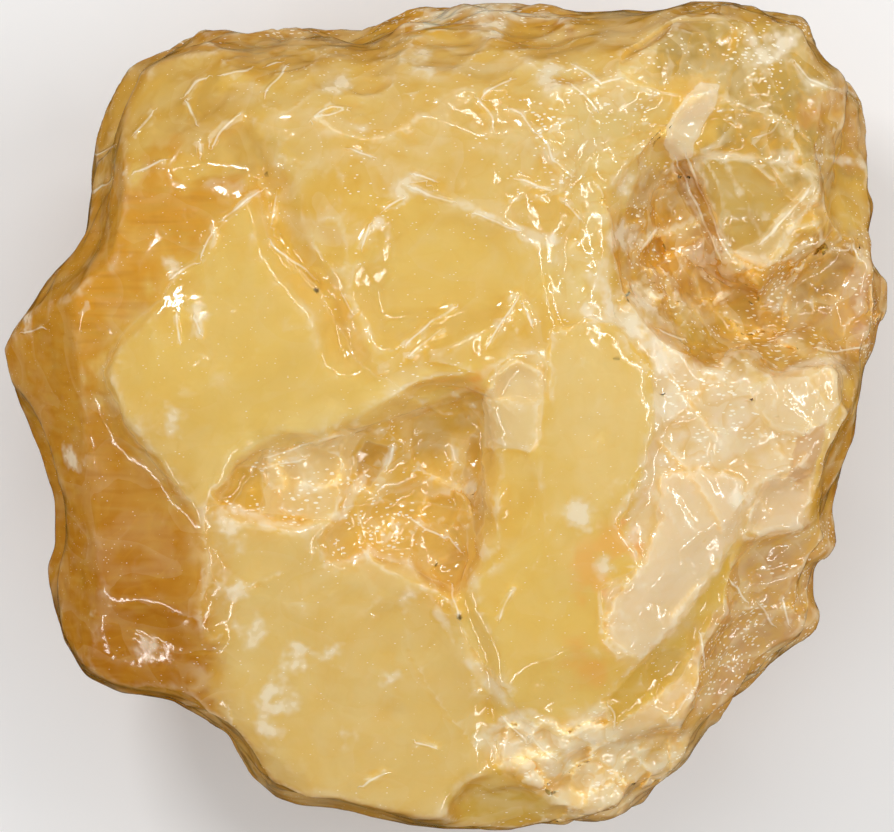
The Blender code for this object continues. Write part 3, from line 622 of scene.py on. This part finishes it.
class Surface:
    """The points of the visible mesh, in millimetres, and the ways to work them."""

    def __init__(self, mesh):
        mesh.calc_loop_triangles()
        flat = np.empty(len(mesh.loop_triangles) * 3, np.int32)
        mesh.loop_triangles.foreach_get("vertices", flat)
        self.faces = flat.reshape(-1, 3)
        self.points = points_of(mesh)
        self.low, self.high = self.points.min(axis=0), self.points.max(axis=0)

    def sum_at_points(self, values):
        """At each point, the total of its triangles' values."""
        total = np.zeros((len(self.points), values.shape[1]))
        for corner in range(3):
            for column in range(values.shape[1]):
                total[:, column] += np.bincount(
                    self.faces[:, corner], weights=values[:, column], minlength=len(total)
                )
        return total

    def normals(self):
        """The outward direction at each point."""
        a, b, c = (self.points[self.faces[:, k]] for k in range(3))
        return unit(self.sum_at_points(np.cross(b - a, c - a)))

    def spread(self, values, rounds):
        """The same values at the points, each drawn halfway to its neighbours' mean, often."""
        counts = self.sum_at_points(np.ones((len(self.faces), 1)))
        for _ in range(rounds):
            means = self.sum_at_points(values[self.faces].mean(axis=1)) / counts
            values = (values + means) / 2
        return values

    def smooth(self, rounds):
        """Melts away the smallest bumps."""
        self.points = self.spread(self.points, rounds)

    def front(self):
        """1 where the surface looks up, and 0 where it looks sideways or down."""
        return np.clip(self.normals()[:, 2] * 3 - 0.2, 0, 1)

    def off_ground(self):
        """0 on the flat back, and 1 from a few millimetres above it."""
        clear = 3.0
        return np.clip(self.points[:, 2] / clear, 0, 1)

    def calm(self):
        """1 on the smooth broad faces, and 0 elsewhere."""
        return calmness(self.points) * self.front()

    def scars(self, count, radii, depths, seed):
        """Shallow shell-shaped scars at random places, few of them on the smooth faces."""
        rng = np.random.RandomState(seed)
        facing = self.normals()
        held = self.off_ground() * (1 - 0.6 * self.calm())
        chance = held**2 + 0.02
        for index in rng.choice(len(self.points), count, replace=False, p=chance / chance.sum()):
            radius, depth = rng.uniform(*radii), rng.uniform(*depths)
            centre = self.points[index] + facing[index] * (radius - depth)
            away = self.points - centre
            near = np.flatnonzero(np.abs(away).max(axis=1) < radius)
            far = np.linalg.norm(away[near], axis=1)
            hit = (far < radius) & (away[near] @ facing[index] < 0)
            near, far = near[hit], far[hit]
            push = held[near] * np.minimum(radius - far, 1.3 * depth) / far
            self.points[near] += away[near] * push[:, None]

    def near(self, places, margin):
        """The points on the front that are seen near some places."""
        low, high = np.min(places, axis=0) - margin, np.max(places, axis=0) + margin
        plan = self.points[:, :2]
        return np.flatnonzero(((plan > low) & (plan < high)).all(axis=1) & (self.fronts > 0))

    def step(self, outline, height, seed):
        """Raises a flake inside an outline, with a crisp wall, or sinks it if height is below 0."""
        wall = 0.3
        near = self.near(outline, margin=2.0)
        inside = inside_distance(ragged(self.points[near], 0.25, 2.5, seed), outline)
        self.points[near, 2] += height * np.clip(inside / wall, 0, 1) * self.fronts[near]

    def ridge(self, path, width, height, seed):
        """A thin rounded ridge along a path, which swells and thins as it goes."""
        near = self.near(path, margin=3.0)
        points = self.points[near]
        across = path_distance(ragged(points, 0.3, 3.0, seed), path) / width
        swell = 0.75 + 0.35 * waves(points, 3.5, seed + 2)
        profile = (1 - np.clip(across, 0, 1) ** 2) ** 2
        self.points[near, 2] += height * swell * profile * self.fronts[near]

    def shatter(self, outline, size, depth, tilt, seed):
        """Breaks the surface inside an outline into small flat chips, each with its own tilt."""
        rng = np.random.RandomState(seed)
        low, high = np.min(outline, axis=0) - 2, np.max(outline, axis=0) + 2
        count = int(np.prod(high - low) / size**2)
        seeds = rng.uniform(low, high, (count, 2))
        drop = rng.uniform(-depth, 0, count)
        lean = rng.normal(0, math.tan(math.radians(tilt)), (count, 2))
        plan = ragged(self.points, 0.5, 3.5, seed + 1)
        inside = inside_distance(plan, outline)
        hit = np.flatnonzero((inside > 0) & (self.points[:, 2] > LOWEST_CHIP))
        away = plan[hit, None, :2] - seeds[None]
        chip = np.argmin((away**2).sum(axis=2), axis=1)
        offset = away[np.arange(len(hit)), chip]
        change = drop[chip] + (offset * lean[chip]).sum(axis=1)
        fade = np.clip(inside[hit], 0, 1)
        self.points[hit, 2] += np.clip(change, -1.6 * depth, 0.6 * depth) * fade

    def cleave(self, outline, bearings, spacing, height, seed):
        """Straight cleavage steps across some bearings, which cut the face into flat rhombs."""
        hem = 1.5
        wall_count = 200
        walls_before_middle = 60
        rng = np.random.RandomState(seed)
        fade = np.clip(inside_distance(self.points, outline) / hem, 0, 1) * self.front()
        for bearing in bearings:
            b = math.radians(bearing)
            along = self.points[:, 0] * math.cos(b) + self.points[:, 1] * math.sin(b)
            along += 0.12 * spacing * waves(self.points, 16, seed + 1)
            walls = np.cumsum(rng.uniform(0.4, 1.7, wall_count) * spacing)
            walls -= walls_before_middle * spacing
            sheet = np.searchsorted(walls, along)
            level = rng.uniform(-1, 1, len(walls) + 1)[sheet]
            present = smooth_step(waves(self.points, 12, seed + 2 + bearing), -0.5, 0.1)
            self.points[:, 2] += height * level * present * fade

    def facet(self, size, amount, seed):
        """Flat tilted facets, strong where the stone is broken up and faint on its calm faces."""
        push = amount * facets(self.points, size, seed) * brokenness(self.points)
        self.points += self.normals() * (push * self.off_ground())[:, None]

    def roughen(self, wavelength, amount, seed):
        """Small swells along the outward direction."""
        swell = amount * waves(self.points, wavelength, seed) * self.off_ground()
        self.points += self.normals() * swell[:, None]

    def keep_in_box(self):
        """Keeps every point inside the box of the mesh as it came, and the back flat on the ground."""
        margin = 0.01
        on_ground = self.points[:, 2] < 0.12
        self.points = np.clip(self.points, self.low + margin, self.high - margin)
        self.points[on_ground, 2] = self.low[2]

    def bulge(self):
        """Above 0 on convex edges and below 0 in creases, about 1 at the sharp ones."""
        sharp = 0.12
        flow = self.spread(self.points, rounds=6) - self.points
        return np.clip(-(flow * self.normals()).sum(axis=1) / sharp, -1, 1)


def shape_stone(surface, ridges):
    """The fine relief of the whole stone."""
    surface.smooth(rounds=6)
    surface.scars(200, radii=(6, 18), depths=(0.15, 0.5), seed=21)
    surface.shatter(OUTLINES["pocket"], size=4.8, depth=0.4, tilt=8, seed=31)
    surface.shatter(OUTLINES["hollow"], size=6.5, depth=0.6, tilt=9, seed=41)
    surface.shatter(OUTLINES["icy_corner"], size=2.8, depth=0.8, tilt=15, seed=51)
    surface.cleave(OUTLINES["far_block"], (15, 120), spacing=4.5, height=0.28, seed=61)
    surface.cleave(OUTLINES["hollow"], (25, 118), spacing=4.0, height=0.35, seed=65)
    surface.cleave(OUTLINES["scoop"], (60, 150), spacing=5.0, height=0.3, seed=71)
    surface.cleave(OUTLINES["pink_block"], (35, 140), spacing=4.0, height=0.22, seed=81)
    surface.cleave(OUTLINES["left_side"], (255,), spacing=4.0, height=0.07, seed=102)
    surface.cleave(OUTLINES["block"], (35, 100), spacing=9.0, height=0.12, seed=103)
    surface.facet(size=8.0, amount=0.38, seed=111)
    surface.facet(size=3.2, amount=0.13, seed=121)
    surface.fronts = surface.front()
    for number, (name, height) in enumerate(STEPS.items()):
        surface.step(OUTLINES[name], height, seed=200 + 10 * number)
    for number, (path, width, height) in enumerate(ridges):
        surface.ridge(path, width, height, seed=400 + 10 * number)
    surface.scars(350, radii=(2, 8), depths=(0.05, 0.2), seed=22)
    surface.roughen(wavelength=3.2, amount=0.025, seed=23)
    surface.keep_in_box()


def soft_zones(points, warp):
    """The colour at each point from the soft zones, whose edges follow the warp."""
    large = clouds(points, 30.0, seed=311, twist=0.2)
    middle = clouds(points, 9.0, seed=321, octaves=4, twist=0.25)
    thinned = 1 - 0.25 * (middle < 0) * -middle
    colours = np.tile(HONEY, (len(points), 1))
    colours = blend(colours, 0.6 * smooth_step(large, -0.2, 0.9), ORANGE)
    colours = blend(colours, 0.45 * smooth_step(middle, -0.2, 0.8), LEMON)
    for name, colour, fade, cover in ZONES:
        inside = inside_distance(points, OUTLINES[name]) + (0.3 + 0.35 * fade) * warp
        factor = cover * smooth_step(inside, -fade / 2, fade / 2) * thinned
        colours = blend(colours, factor, colour)
    return colours


def near_left_amber_and_side_shade(colours, points, facing_up):
    """The colours with deep amber towards the near left, and painted shade down the steep sides:
    amber, then brown, the more the surface turns away from up.
    """
    near_left = smooth_step(points[:, 1] * 0.8 + points[:, 0] * 0.5, -8, -36)
    near_left *= smooth_step(points[:, 0], -22, -30)
    colours = blend(colours, 0.9 * near_left, DEEP_AMBER)
    # Painted shade: amber, then brown, as the surface turns sideways and down
    colours = blend(colours, 0.65 * smooth_step(facing_up, 0.75, 0.3), SIDE_SHADE_AMBER)
    return blend(colours, 0.7 * smooth_step(facing_up, 0.35, -0.1), BROWN)


def mottled(colours, points, calm):
    """The colours with small mottling, and milky and orange wisps that are faint on calm faces."""
    left = smooth_step(inside_distance(points, OUTLINES["left_side"]), -2, 3)
    mottle = clouds(points, 6.0, seed=345, octaves=4, twist=0.3)
    wisps = clouds(points * (0.6, 1.0, 0.8), 8.0, seed=331, octaves=4, twist=0.35)
    wispy = 1 - 0.7 * calm
    colours = blend(colours, 0.25 * smooth_step(mottle, 0, 0.9) * (1 - 0.8 * left), MILK)
    colours = blend(colours, 0.14 * smooth_step(-mottle, 0, 0.9), GULLY_ORANGE)
    colours = blend(colours, 0.35 * smooth_step(wisps, 0.1, 0.9) * wispy, CREAM)
    return blend(colours, 0.3 * smooth_step(-wisps, 0.3, 1.0) * wispy, ORANGE)


def zone_colours(surface, facing_up, bulge):
    """The colour at each point, from the soft zones out to the iron stains."""
    points = surface.points
    warp = clouds(points, 5.0, seed=301, octaves=4)
    colours = near_left_amber_and_side_shade(soft_zones(points, warp), points, facing_up)
    strip = inside_distance(points, OUTLINES["white_strip"]) + 0.6 * warp
    colours = blend(colours, 0.9 * smooth_step(strip, -0.5, 0.5) * (facing_up > 0), WHITE)
    colours = mottled(colours, points, surface.calm())
    # Painted shade: the creases are drawn towards a deeper orange
    colours = blend(colours, 0.5 * smooth_step(bulge, -0.15, -0.9), ORANGE)
    stain = spot_depth(points, STAINS) + 1.6 * warp
    return blend(colours, 0.75 * smooth_step(stain, -0.5, 2.5), STAIN)


def sharp_zones(points, zones):
    """How far inside a sharp-edged zone each point is, and that zone's colour and cover."""
    deepest = np.full(len(points), -1e9)
    colours = np.zeros((len(points), 4))
    for name, (colour, cover) in zones.items():
        inside = inside_distance(points, OUTLINES[name])
        closer = inside > deepest
        deepest[closer] = inside[closer]
        colours[closer] = (*colour, cover)
    return deepest, colours


def sparkle(points):
    """How thickly the painted glint dashes lie at each point, 0 to 1."""
    patches = smooth_step(clouds(points, 9.0, seed=341, twist=0.2), -0.5, 0.6)
    return (0.35 + 0.65 * patches) * (0.25 + 0.75 * brokenness(points))


def store(mesh, name, values):
    """Keeps one number at each point of the mesh, for the material to read."""
    attribute = mesh.attributes.new(name, "FLOAT", "POINT")
    attribute.data.foreach_set("value", np.asarray(values, np.float32))


def store_colour(mesh, name, colours):
    """Keeps a colour and a cover at each point of the mesh, for the material to read."""
    attribute = mesh.attributes.new(name, "FLOAT_COLOR", "POINT")
    attribute.data.foreach_set("color", colours.astype(np.float32).ravel())


def shaped_mesh(solid, ridges):
    """The solid's mesh made fine, given its relief, and thinned where it is flat."""
    fine = through_modifier(solid, "REMESH", mode="VOXEL", voxel_size=VOXEL * MILLIMETRE)
    surface = Surface(fine)
    shape_stone(surface, ridges)
    fine.vertices.foreach_set("co", (surface.points * MILLIMETRE).ravel())
    fine.update()
    thin = through_modifier(fine, "DECIMATE", ratio=MOST_TRIANGLES / len(surface.faces))
    points = points_of(thin)
    points[:, 2] = np.maximum(points[:, 2], 0)
    thin.vertices.foreach_set("co", (points * MILLIMETRE).ravel())
    return thin


def store_marks(mesh, surface):
    """Keeps at each point of the mesh what the material needs to know."""
    points = surface.points
    facing_up = surface.spread(surface.normals(), rounds=8)[:, 2]
    bulge = surface.bulge()
    colours = zone_colours(surface, facing_up, bulge)
    store_colour(mesh, "zone_colour", np.concatenate([colours, np.ones((len(points), 1))], axis=1))
    wandering = ragged(points, 0.12, 2.0, seed=361)
    # Keeps the marks of the front, which are placed from above, off the overhanging sides
    underside = 5.0 * (facing_up < 0)
    for layer, zones in (("sharp", SHARP_ZONES), ("inner", INNER_ZONES)):
        inside, colours = sharp_zones(wandering, zones)
        store(mesh, layer, inside - underside)
        store_colour(mesh, layer + "_colour", colours)
    store(mesh, "bruise", spot_depth(points, BRUISES) - underside)
    store(mesh, "speck", spot_depth(points, SPECKS))
    store(mesh, "seam", seam_depth(wandering, SEAMS) - underside)
    gap, crest = crest_sides(ragged(points, 0.12, 3.0, seed=365), [path for path, _, _ in RIDGES])
    store(mesh, "crest_gap", gap + underside)
    store(mesh, "crest", crest)
    store(mesh, "sparkle", sparkle(points))
    store(mesh, "veil", facets(points, 10.0, seed=381) + 0.25 * waves(points, 5.0, seed=382))
    store(mesh, "small_veil", facets(points, 5.0, seed=391) + 0.2 * waves(points, 3.0, seed=392))
    store(mesh, "veiled", 0.2 + 0.8 * brokenness(points))
    store(mesh, "layered", smooth_step(inside_distance(points, OUTLINES["left_side"]), -2, 4))
    store(mesh, "bulge", bulge)


def make_stone():
    """The visible stone, in place of the plain solid."""
    mesh = shaped_mesh(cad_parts["calcite_stone"].data, all_ridges())
    store_marks(mesh, Surface(mesh))
    mesh.polygons.foreach_set("use_smooth", np.ones(len(mesh.polygons), bool))
    mesh.update()
    mesh.materials.clear()
    mesh.materials.append(calcite())
    stone = bpy.data.objects.new("raw_calcite", mesh)
    bpy.context.scene.collection.objects.link(stone)
    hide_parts("calcite_stone")
    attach(stone, "root")


class Nodes:
    """A material's node tree, and short ways to add to it. Lengths in it are millimetres."""

    def __init__(self, name):
        self.material = bpy.data.materials.new(name)
        self.material.use_nodes = True
        self.tree = self.material.node_tree
        self.shader = self.tree.nodes["Principled BSDF"]

    def put(self, socket, value):
        """Links an output to an input, or sets the input to a plain value."""
        if isinstance(value, bpy.types.NodeSocket):
            self.tree.links.new(value, socket)
        elif isinstance(value, tuple) and len(value) == 3 and socket.type == "RGBA":
            socket.default_value = (*value, 1.0)
        else:
            socket.default_value = value

    def node(self, kind, inputs, **settings):
        """A new node, with its inputs given by name or number."""
        made = self.tree.nodes.new(kind)
        for name, value in settings.items():
            setattr(made, name, value)
        for key, value in inputs.items():
            self.put(made.inputs[key], value)
        return made

    def attribute(self, name, output="Fac"):
        """What the mesh keeps at each point under that name."""
        return self.node("ShaderNodeAttribute", {}, attribute_name=name).outputs[output]

    def maths(self, operation, a, b=0.0):
        made = self.node("ShaderNodeMath", {0: a, 1: b}, operation=operation)
        return made.outputs[0]

    def times(self, a, b):
        return self.maths("MULTIPLY", a, b)

    def plus(self, a, b):
        return self.maths("ADD", a, b)

    def ramp(self, value, low, high):
        """0 at low, 1 at high, and smooth between them."""
        made = self.node(
            "ShaderNodeMapRange",
            {"Value": value, "From Min": low, "From Max": high},
            interpolation_type="SMOOTHSTEP",
        )
        return made.outputs["Result"]

    def mix(self, factor, a, b):
        """Colour a where factor is 0, and colour b where it is 1."""
        made = self.node("ShaderNodeMix", {0: factor, 6: a, 7: b}, data_type="RGBA")
        return made.outputs[2]

    def tint(self, colour, paint, factor, strength):
        """The colour under some paint, which covers as much as factor times strength."""
        return self.mix(self.times(factor, strength), colour, paint)

    def noise(self, at, size, detail=2.0, roughness=0.5):
        """Noise with features of that size."""
        made = self.node(
            "ShaderNodeTexNoise",
            {"Vector": at, "Scale": 1 / size, "Detail": detail, "Roughness": roughness},
        )
        return made.outputs[0]

    def from_dots(self, at):
        """How far each place is from the nearest of random dots, one in every unit cube."""
        made = self.node("ShaderNodeTexVoronoi", {"Vector": at, "Scale": 1.0})
        return made.outputs["Distance"]

    def stretch(self, at, scale, turn=0.0):
        """The place multiplied along each axis, then turned about the upright one in degrees."""
        made = self.node(
            "ShaderNodeMapping",
            {"Vector": at, "Rotation": (0.0, 0.0, math.radians(turn)), "Scale": scale},
        )
        return made.outputs[0]


def crest_line(nodes, half_width):
    """1 along the crests of the thin ridges, fading out at half_width from them."""
    crest = nodes.maths("ABSOLUTE", nodes.attribute("crest"))
    near = nodes.ramp(nodes.attribute("crest_gap"), 0.8, 0.45)
    return nodes.times(nodes.ramp(crest, half_width, 0.3 * half_width), near)


def veil(nodes, name, depth):
    """1 along one side of the sharp creases of a stored field, fading out away from them."""
    field = nodes.attribute(name)
    crisp = 0.03
    sheet = nodes.times(nodes.ramp(field, 0.0, crisp), nodes.ramp(field, depth, crisp))
    return nodes.times(sheet, nodes.attribute("veiled"))


def wandering_edge(nodes, layer, warp):
    """How far inside its sharp-edged zone each place is, with the edge made to wander a little."""
    return nodes.plus(nodes.attribute(layer), nodes.times(warp, 0.7))


def with_sharp_zones(nodes, colour, warp):
    """The colour with the sharp-edged zones over it, each of them pale along its edge."""
    edge_fade = 0.08
    rim_width = 0.3
    rim = 0.0
    for layer in ("sharp", "inner"):
        inside = wandering_edge(nodes, layer, warp)
        within = nodes.ramp(inside, -edge_fade, edge_fade)
        cover = nodes.times(within, nodes.attribute(layer + "_colour", "Alpha"))
        colour = nodes.mix(cover, colour, nodes.attribute(layer + "_colour", "Color"))
        edge = nodes.ramp(nodes.maths("ABSOLUTE", inside), rim_width, 0.0)
        rim = nodes.maths("MAXIMUM", rim, edge)
    return colour, rim


def calcite_colour(nodes, fine, glint_dots, layers):
    """The stone's colour, and how bruised it is."""
    warp = nodes.plus(fine, -0.5)
    patchy = nodes.ramp(fine, 0.3, 0.6)
    colour = nodes.attribute("zone_colour", "Color")
    # Internal fractures show as faint sheets, each with one sharp edge
    colour = nodes.tint(colour, CREAM, veil(nodes, "veil", depth=0.7), strength=0.35)
    colour = nodes.tint(colour, ORANGE, veil(nodes, "small_veil", depth=0.6), strength=0.3)
    colour, rim = with_sharp_zones(nodes, colour, warp)
    # The left side is made of fine layers
    layered = nodes.times(nodes.attribute("layered"), 0.3)
    colour = nodes.tint(colour, TAN, nodes.ramp(layers, 0.5, 0.75), strength=layered)
    colour = nodes.tint(colour, DEEP_AMBER, nodes.ramp(layers, 0.5, 0.25), strength=layered)
    # The edges of flakes and the seams between them are pale, and the convex edges are whitened,
    # partly as bruising and partly as a painted highlight
    colour = nodes.tint(colour, CREAM, rim, strength=0.2)
    seam = nodes.plus(nodes.attribute("seam"), nodes.times(warp, 1.2))
    milky = nodes.plus(nodes.times(patchy, 0.35), 0.12)
    colour = nodes.tint(colour, WHITE, nodes.ramp(seam, -0.35, 0.25), strength=milky)
    edge = nodes.times(nodes.ramp(nodes.attribute("bulge"), 0.15, 0.8), patchy)
    colour = nodes.tint(colour, WHITE, edge, strength=0.4)
    placed = nodes.plus(nodes.attribute("bruise"), nodes.times(warp, 5.0))
    bruise = nodes.times(nodes.ramp(placed, -0.8, 1.4), patchy)
    colour = nodes.tint(colour, WHITE, bruise, strength=0.7)
    # Painted highlights along the ridge crests, partly also white bruise lines
    shine = nodes.plus(nodes.times(patchy, 0.4), 0.2)
    colour = nodes.tint(colour, PAINTED_GLINT, crest_line(nodes, half_width=0.15), strength=shine)
    # Painted highlights: tiny glint-white dashes
    colour = nodes.tint(colour, PAINTED_GLINT, glint_dots, strength=0.8)
    speck = nodes.ramp(nodes.attribute("speck"), -0.1, 0.15)
    return nodes.tint(colour, SPECK, speck, strength=0.85), bruise


def calcite_relief(nodes, fine):
    """Relief too fine for the mesh: grain, crisp crests, and the steps at the sharp zones."""
    grain = 0.10
    crest_height = 0.08
    step_height = 0.06
    height = nodes.times(fine, grain)
    crest = crest_line(nodes, half_width=0.4)
    height = nodes.plus(height, nodes.times(crest, crest_height))
    inside = wandering_edge(nodes, "sharp", nodes.plus(fine, -0.5))
    return nodes.plus(height, nodes.times(nodes.ramp(inside, -0.1, 0.1), step_height))


def painted_glint_dashes(nodes, place):
    """Painted glints: tiny bright dashes along two bearings, more of them and wider where the stone
    sparkles.
    """
    dash_shape = (0.75, 1.8, 1.8)
    edge_fade = 0.04
    reach = nodes.plus(nodes.times(nodes.attribute("sparkle"), 0.2), 0.035)
    dash = nodes.from_dots(nodes.stretch(place, dash_shape, turn=35.0))
    other_dash = nodes.from_dots(nodes.stretch(place, dash_shape, turn=-50.0))
    closest = nodes.maths("MINIMUM", dash, other_dash)
    return nodes.ramp(nodes.maths("SUBTRACT", reach, closest), 0.0, edge_fade)


def calcite():
    """Honey calcite: milky and waxy inside, with a wet-looking broken surface."""
    nodes = Nodes("honey_calcite")
    metres = nodes.node("ShaderNodeTexCoord", {}).outputs["Object"]
    scaled = {0: metres, "Scale": 1 / MILLIMETRE}
    place = nodes.node("ShaderNodeVectorMath", scaled, operation="SCALE").outputs[0]
    fine = nodes.noise(place, size=2.4, roughness=0.55)
    layers = nodes.noise(nodes.stretch(place, (0.05, 1.0, 0.35)), size=1.0, detail=1.0)
    glint_dots = painted_glint_dashes(nodes, place)
    colour, bruise = calcite_colour(nodes, fine, glint_dots, layers)
    nodes.put(nodes.shader.inputs["Base Color"], colour)
    rough = nodes.plus(nodes.times(fine, 0.12), 0.05)
    nodes.put(nodes.shader.inputs["Roughness"], nodes.plus(rough, nodes.times(bruise, 0.25)))
    bump = nodes.node(
        "ShaderNodeBump",
        {"Height": calcite_relief(nodes, fine), "Strength": 1.0, "Distance": MILLIMETRE},
    )
    nodes.put(nodes.shader.inputs["Normal"], bump.outputs[0])
    nodes.shader.subsurface_method = "BURLEY"
    nodes.shader.inputs["IOR"].default_value = 1.55
    nodes.shader.inputs["Subsurface Weight"].default_value = 1.0
    nodes.shader.inputs["Subsurface Radius"].default_value = (1.0, 0.55, 0.2)
    nodes.shader.inputs["Subsurface Scale"].default_value = 4.0 * MILLIMETRE
    return nodes.material


def make_floor():
    """A plain pale floor."""
    nodes = Nodes("pale_floor")
    nodes.shader.inputs["Base Color"].default_value = (0.93, 0.93, 0.93, 1.0)
    nodes.shader.inputs["Roughness"].default_value = 0.9
    nodes.shader.inputs["Specular IOR Level"].default_value = 0.1
    bpy.ops.mesh.primitive_plane_add(size=FLOOR_WIDTH)
    floor = bpy.context.object
    floor.name = "pale_floor_sheet"
    floor.data.materials.append(nodes.material)
    # The stone mirrors the lights and not the pale floor, which would bleach its steep sides
    floor.visible_glossy = False


def make_strip(name, bearing, height_angle, length, strength):
    """A long level strip light, turned to the stone."""
    b, t = math.radians(bearing), math.radians(height_angle)
    towards = Vector((math.cos(t) * math.cos(b), math.cos(t) * math.sin(b), math.sin(t)))
    lamp = bpy.data.lights.new(name, "AREA")
    lamp.shape = "RECTANGLE"
    lamp.size = length
    lamp.size_y = STRIP_THICKNESS
    lamp.energy = strength * 4 * math.pi * LIGHT_DISTANCE**2 * math.pi / 4
    light = bpy.data.objects.new(name, lamp)
    light.location = towards * LIGHT_DISTANCE + Vector((0, 0, RIM_HEIGHT * MILLIMETRE))
    light.rotation_euler = towards.to_track_quat("Z", "Y").to_euler()
    light.visible_camera = False
    bpy.context.scene.collection.objects.link(light)


def make_lights():
    """A soft pale surround, and strips of light round the camera that the ridges mirror."""
    world = bpy.data.worlds.new("surround")
    bpy.context.scene.world = world
    world.use_nodes = True
    background = world.node_tree.nodes["Background"]
    background.inputs["Color"].default_value = (1.0, 1.0, 1.0, 1.0)
    background.inputs["Strength"].default_value = SURROUND
    # Like the floor, the surround isn't mirrored
    world.cycles_visibility.glossy = False
    for name, settings in STRIP_LIGHTS.items():
        make_strip(name, *settings)


def make_camera():
    """Looks straight down on the front, from far off."""
    data = bpy.data.cameras.new("camera")
    camera = bpy.data.objects.new("camera", data)
    bpy.context.scene.collection.objects.link(camera)
    data.lens = LENS
    data.sensor_width = SENSOR_WIDTH
    data.clip_end = FAR_CLIP
    seen = PHOTO_WIDTH * PIXEL * MILLIMETRE
    distance = seen * LENS / SENSOR_WIDTH
    x, y = PHOTO_MIDDLE
    camera.location = (x * MILLIMETRE, y * MILLIMETRE, distance + FRONT_HEIGHT * MILLIMETRE)
    bpy.context.scene.camera = camera


make_stone()
make_floor()
make_lights()
make_camera()
bpy.context.scene.view_settings.view_transform = "Standard"
